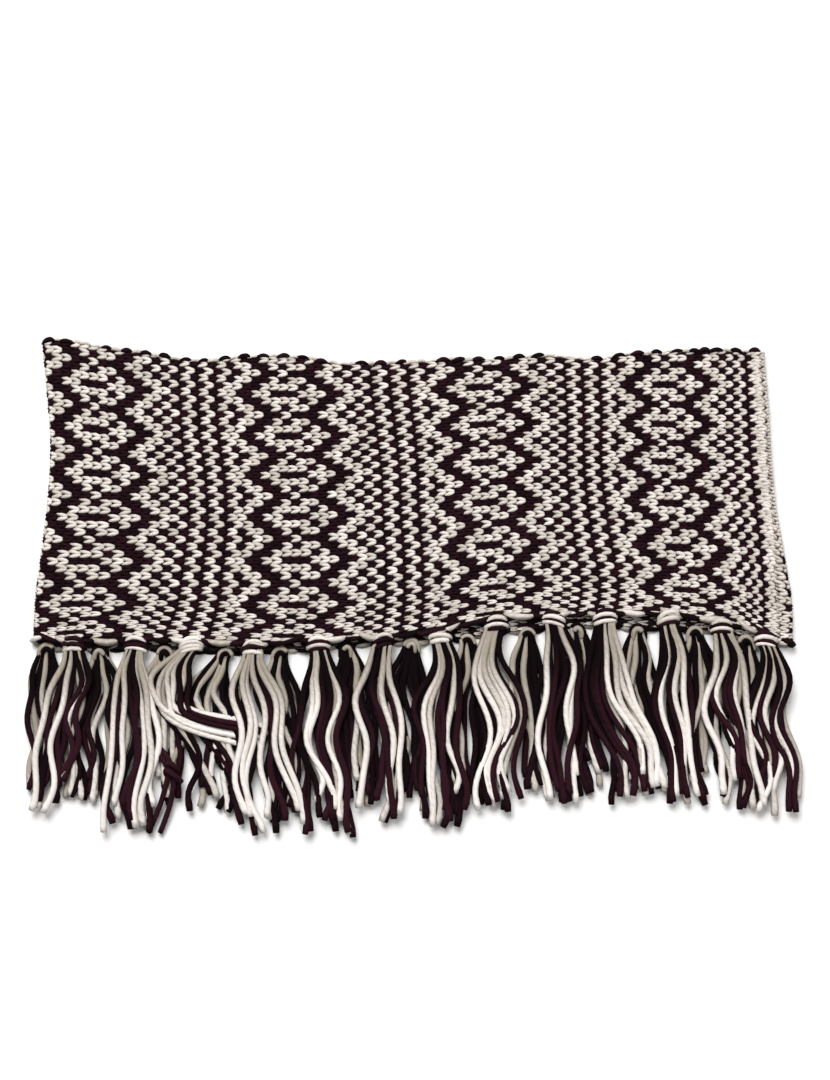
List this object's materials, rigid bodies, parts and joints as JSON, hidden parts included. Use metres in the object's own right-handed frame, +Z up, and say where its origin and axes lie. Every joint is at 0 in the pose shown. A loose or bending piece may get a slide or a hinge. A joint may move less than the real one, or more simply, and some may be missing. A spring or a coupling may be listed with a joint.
{
  "type": "knitted loop scarf, laid flat",
  "caption": "Chunky knitted loop scarf in burgundy and cream, laid flat in two layers with yarn tassels along the hem.",
  "frame": {"origin": "centre of the laid scarf's footprint, on the surface that it lies on", "axes": "+X along the strip towards its seamed end, +Y up the cloth from the fringe to the top edge, +Z up off the surface"},
  "size_m": [0.65, 0.4239, 0.0134],
  "materials": {
    "knitting": "two-colour stranded stocking stitch in thick soft yarn, matt",
    "burgundy_yarn": "thick plied burgundy yarn, soft and matt",
    "cream_yarn": "thick plied cream yarn, soft and matt"
  },
  "bodies": {
    "root": {"front_layer": "knitting", "back_layer": "knitting", "front_tassel_01": "cream_yarn", "front_tassel_02": "burgundy_yarn", "front_tassel_03": "cream_yarn", "front_tassel_04": "cream_yarn", "front_tassel_05": "burgundy_yarn", "front_tassel_06": "burgundy_yarn", "front_tassel_07": "burgundy_yarn", "front_tassel_08": "cream_yarn", "front_tassel_09": "burgundy_yarn", "front_tassel_10": "burgundy_yarn", "front_tassel_11": "cream_yarn", "front_tassel_12": "burgundy_yarn", "front_tassel_13": "cream_yarn", "back_tassel_01": "burgundy_yarn", "back_tassel_02": "burgundy_yarn", "back_tassel_03": "cream_yarn", "back_tassel_04": "cream_yarn", "back_tassel_05": "burgundy_yarn", "back_tassel_06": "burgundy_yarn", "back_tassel_07": "burgundy_yarn", "back_tassel_08": "burgundy_yarn", "back_tassel_09": "cream_yarn", "back_tassel_10": "burgundy_yarn", "back_tassel_11": "cream_yarn", "back_tassel_12": "burgundy_yarn", "back_tassel_13": "burgundy_yarn"}
  },
  "joints": []
}
